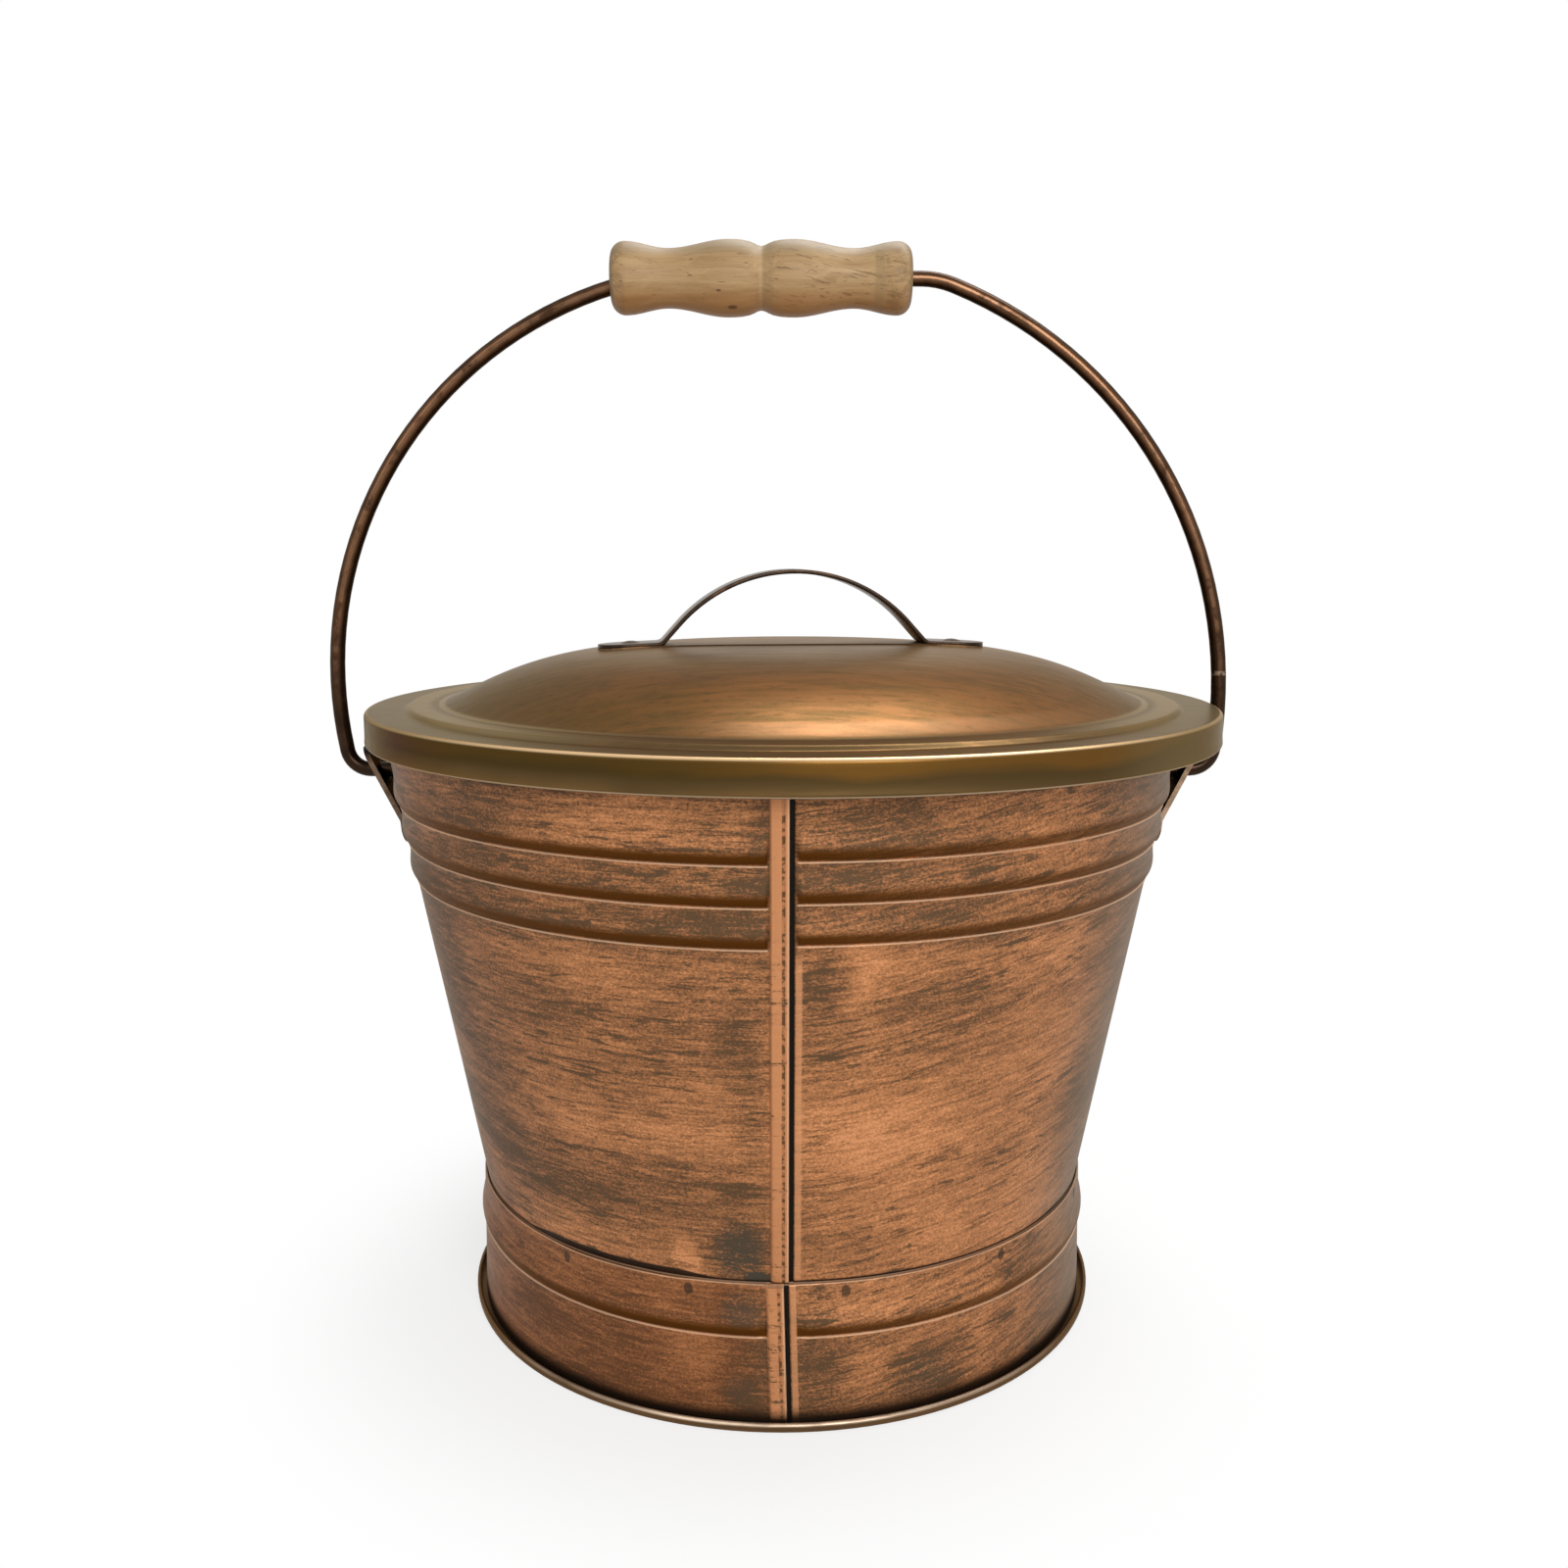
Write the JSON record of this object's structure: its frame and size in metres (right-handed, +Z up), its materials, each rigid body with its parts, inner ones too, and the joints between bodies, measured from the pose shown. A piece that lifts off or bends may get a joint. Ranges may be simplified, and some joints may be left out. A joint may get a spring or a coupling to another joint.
{
  "type": "lidded ash bucket",
  "caption": "Round tapered bucket of folded sheet metal for carrying hearth ash, with a domed lid, a strap handle on the lid and a wire bail with a turned wooden grip.",
  "frame": {"origin": "middle of the flat underside of the base plate, on the axis of the round bucket", "axes": "+Z up; X along the bail's hinge line through the two ears; -Y towards the front, where the wall's lock seam is"},
  "size_m": [0.3418, 0.3164, 0.3956],
  "materials": {
    "wall_copper": "brushed antique copper, streaked with grey-brown patina",
    "base_bronze": "satin bronze with a worn bright edge",
    "lid_bronze": "satin bronze",
    "dark_bronze": "near-black bronze, rubbed to copper in places",
    "pale_wood": "bare turned wood, fine grain"
  },
  "bodies": {
    "bucket": {"body_shell": "wall_copper", "rim_wire": "dark_bronze", "floor_pan": "wall_copper", "base_band": "wall_copper", "base_plate": "base_bronze", "ear_left": "dark_bronze", "ear_right": "dark_bronze", "ear_rivets_left": "dark_bronze", "ear_rivets_right": "dark_bronze"},
    "bail": {"bail_wire": "dark_bronze"},
    "bail_grip": {"grip": "pale_wood"},
    "cover": {"lid": "lid_bronze", "lid_handle": "dark_bronze", "handle_backing": "lid_bronze", "lid_rivets": "dark_bronze"}
  },
  "joints": [
    {"name": "bail_swing", "type": "hinge", "parent": "bucket", "child": "bail", "pos_m": [0, 0, 0.2008], "axis": [1, 0, 0], "range_deg": [-130, 130]},
    {"name": "grip_spin", "type": "hinge", "parent": "bail", "child": "bail_grip", "pos_m": [-0.0074, 0, 0.38205], "axis": [1, 0, 0], "continuous": true},
    {"name": "lid_lift", "type": "slide", "parent": "bucket", "child": "cover", "axis": [0, 0, 1], "range_m": [0, 0.02]}
  ]
}
